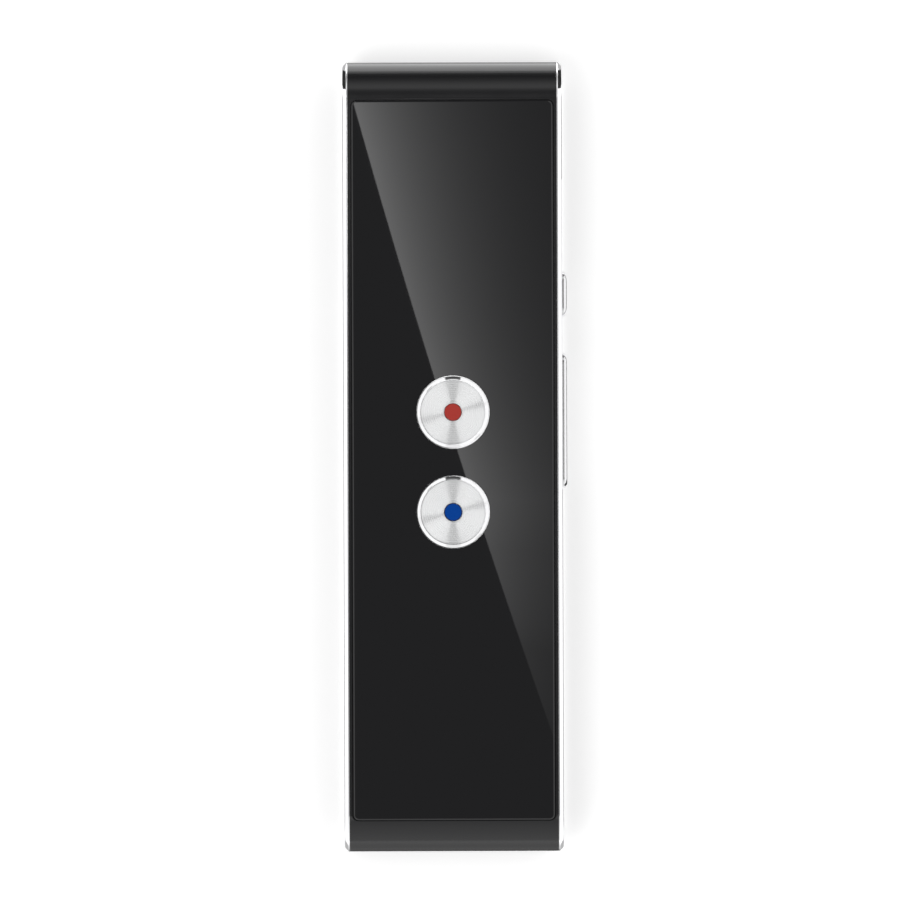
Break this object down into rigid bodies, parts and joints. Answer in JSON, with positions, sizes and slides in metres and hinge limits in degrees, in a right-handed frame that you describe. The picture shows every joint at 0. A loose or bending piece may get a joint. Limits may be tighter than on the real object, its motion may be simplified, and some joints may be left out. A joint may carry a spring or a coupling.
{
  "type": "handheld translator",
  "caption": "Slim voice translator: round-ended bar with bright side rims, glossy front panel, round push buttons, side power key, volume rocker and charging socket.",
  "frame": {"origin": "middle of the flat back face, half-way along the length and across the width over both rims", "axes": "+X across the width towards the power key and volume rocker, +Y along the length towards the end with the grilles, +Z out of the front face with the buttons"},
  "size_m": [0.0402, 0.142, 0.0143],
  "materials": {
    "shell_black": "satin moulded black",
    "plate_black": "satin black",
    "panel_gloss": "high gloss black",
    "rim_chrome": "bright",
    "button_chrome": "bright",
    "spun_metal": "spun, fine rings",
    "dot_red": "gloss",
    "dot_blue": "gloss",
    "key_metal": "satin",
    "socket_steel": "plain",
    "contact_gold": "plated",
    "mesh_dark": "blackened",
    "board_green": "solder mask",
    "chip_black": "moulded",
    "switch_black": "moulded",
    "plunger_white": "moulded",
    "shield_steel": "tinned",
    "ceramic_white": "fired",
    "cell_silver": "foil pouch",
    "tape_grey": "double-sided tape",
    "adhesive_black": "sheet",
    "connector_white": "moulded",
    "lead_red": "insulated wire",
    "magnet_grey": "plated magnet",
    "cone_black": "thin film",
    "foam_black": "foam",
    "boot_rubber": "soft",
    "capsule_metal": "plain"
  },
  "bodies": {
    "case": {"front_shell": "shell_black", "back_shell": "shell_black", "left_rim": "rim_chrome", "right_rim": "rim_chrome", "left_side_plate": "plate_black", "right_side_plate": "plate_black", "left_grille_mesh": "mesh_dark", "right_grille_mesh": "mesh_dark", "front_panel": "panel_gloss", "panel_adhesive": "adhesive_black", "red_switch_body": "switch_black", "blue_switch_body": "switch_black", "power_switch_body": "switch_black", "volume_up_switch_body": "switch_black", "volume_down_switch_body": "switch_black", "usb_shell": "socket_steel", "usb_tongue": "chip_black", "usb_contacts": "contact_gold", "main_board": "board_green", "processor_chip": "chip_black", "flash_chip": "chip_black", "clock_crystal": "shield_steel", "shield_can": "shield_steel", "antenna": "ceramic_white", "battery_cell": "cell_silver", "battery_tape": "tape_grey", "battery_connector": "connector_white", "battery_leads": "lead_red", "speaker_basket": "shield_steel", "speaker_magnet": "magnet_grey", "speaker_diaphragm": "cone_black", "speaker_gasket": "foam_black", "speaker_leads": "lead_red", "left_microphone": "capsule_metal", "right_microphone": "capsule_metal", "left_microphone_boot": "boot_rubber", "right_microphone_boot": "boot_rubber"},
    "red_button": {"red_button_cap": "button_chrome", "red_button_disc": "spun_metal", "red_button_dot": "dot_red", "red_switch_plunger": "plunger_white"},
    "blue_button": {"blue_button_cap": "button_chrome", "blue_button_disc": "spun_metal", "blue_button_dot": "dot_blue", "blue_switch_plunger": "plunger_white"},
    "power_key": {"power_button": "key_metal", "power_switch_plunger": "plunger_white"},
    "volume_key": {"volume_rocker": "key_metal"},
    "volume_up_contact": {"volume_up_plunger": "plunger_white"},
    "volume_down_contact": {"volume_down_plunger": "plunger_white"}
  },
  "joints": [
    {"name": "red_button_press", "type": "slide", "parent": "case", "child": "red_button", "axis": [0, 0, -1], "range_m": [0, 0.0004], "stiffness_N_per_m": 3000, "springref_m": -0.00015},
    {"name": "blue_button_press", "type": "slide", "parent": "case", "child": "blue_button", "axis": [0, 0, -1], "range_m": [0, 0.0004], "stiffness_N_per_m": 3000, "springref_m": -0.00015},
    {"name": "power_button_press", "type": "slide", "parent": "case", "child": "power_key", "axis": [-1, 0, 0], "range_m": [0, 0.0003], "stiffness_N_per_m": 3000, "springref_m": -0.00015},
    {"name": "volume_rocker_tilt", "type": "hinge", "parent": "case", "child": "volume_key", "pos_m": [0.0171, 0.0065, 0.0067], "axis": [0, 0, 1], "range_deg": [-1.5, 1.5], "stiffness_Nm_per_rad": 0.5},
    {"name": "volume_up_contact_press", "type": "slide", "parent": "case", "child": "volume_up_contact", "axis": [-1, 0, 0], "range_m": [-0.00024, 0.00024]},
    {"name": "volume_down_contact_press", "type": "slide", "parent": "case", "child": "volume_down_contact", "axis": [-1, 0, 0], "range_m": [-0.00024, 0.00024]}
  ],
  "couplings": [
    {"joint": "volume_up_contact_press", "follows": "volume_rocker_tilt", "m_per_rad": 0.009},
    {"joint": "volume_down_contact_press", "follows": "volume_rocker_tilt", "m_per_rad": -0.009}
  ]
}
